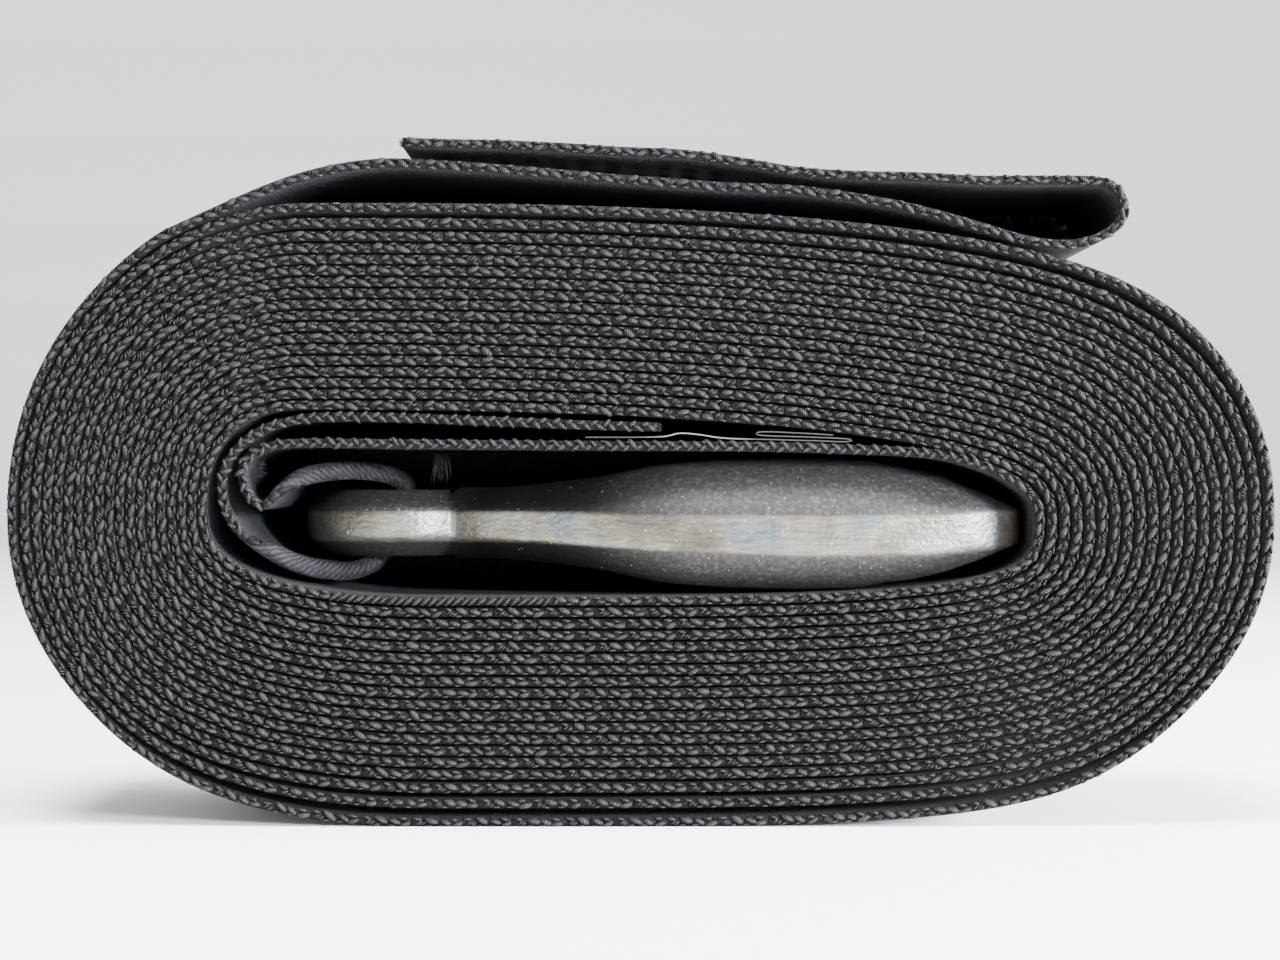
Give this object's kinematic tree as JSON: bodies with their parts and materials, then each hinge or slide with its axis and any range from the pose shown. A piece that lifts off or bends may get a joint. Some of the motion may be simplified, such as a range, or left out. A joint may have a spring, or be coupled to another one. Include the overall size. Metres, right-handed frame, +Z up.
{
  "type": "winch strap",
  "caption": "Flat woven winch strap wound into an oval roll around its forged eye hook, with a sewn winch loop at the outer end.",
  "frame": {"origin": "middle of the bounding box's base, under the roll", "axes": "+X along the long side of the roll, towards the winch loop; +Y across the webbing, from the hook's back towards its point; +Z up"},
  "size_m": [0.1932, 0.05, 0.105],
  "materials": {
    "webbing": "woven charcoal polyester, matt with a slight sheen on the yarns",
    "hook": "forged steel, zinc plated, satin with a faint pitted skin",
    "label": "thin black vinyl film, glossy, bare"
  },
  "bodies": {
    "root": {"webbing": "webbing", "hook": "hook", "label": "label"}
  },
  "joints": []
}
